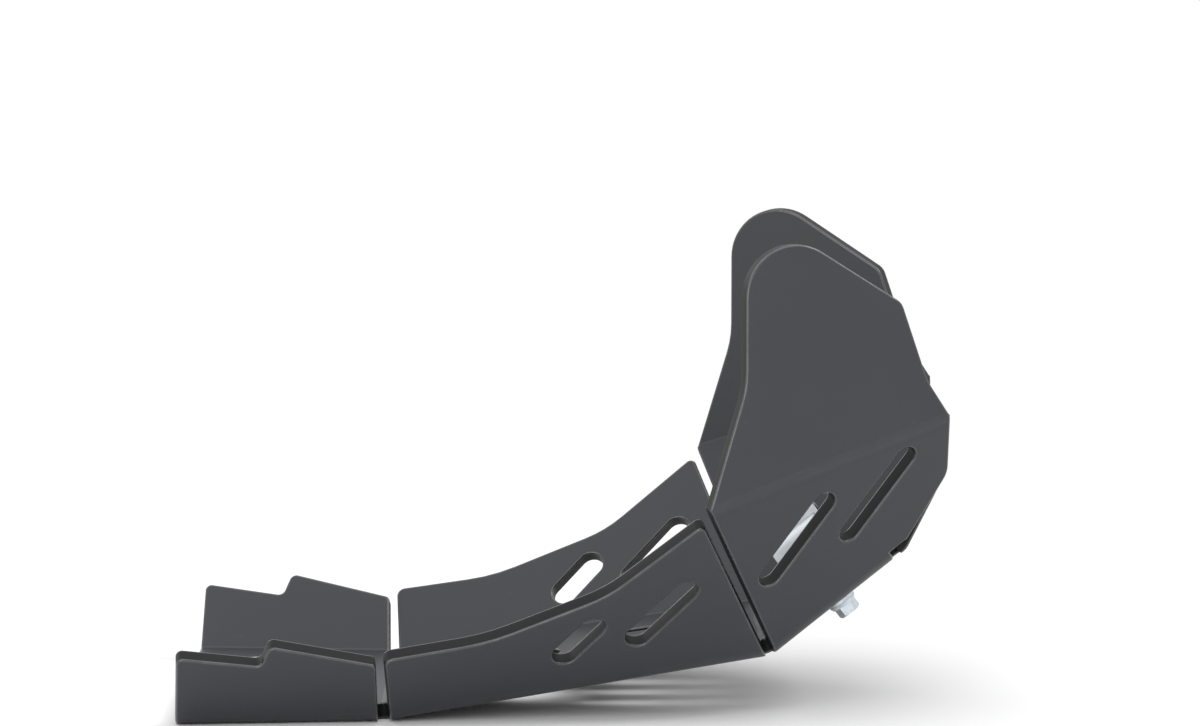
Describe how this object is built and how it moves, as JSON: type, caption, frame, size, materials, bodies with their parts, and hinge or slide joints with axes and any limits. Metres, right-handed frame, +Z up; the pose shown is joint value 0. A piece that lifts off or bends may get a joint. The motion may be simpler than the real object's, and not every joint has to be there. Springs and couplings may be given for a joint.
{
  "type": "motorcycle skid plate",
  "caption": "Thick plastic engine guard for a motorcycle, folded into a sloping trough with tall creased wings, frame clamps at the front and bushed bolt holes at the rear.",
  "frame": {"origin": "midway between the two rear bolts, on the inner face of the level rear floor, which seats against the frame", "axes": "+X towards the front of the motorcycle along the level rear floor, +Y towards its left side, +Z up, square to the rear floor"},
  "size_m": [0.3679, 0.2754, 0.2295],
  "materials": {
    "plate": "satin",
    "zinc": "bright zinc plate",
    "strap": "zinc plate"
  },
  "bodies": {
    "root": {"skid_plate": "plate", "front_bolt_right": "zinc", "front_bolt_left": "zinc", "front_washer_right": "zinc", "front_washer_left": "zinc", "front_clamp_right": "strap", "front_clamp_left": "strap", "front_nut_right": "zinc", "front_nut_left": "zinc", "rear_bush_right": "strap", "rear_bush_left": "strap"}
  },
  "joints": []
}
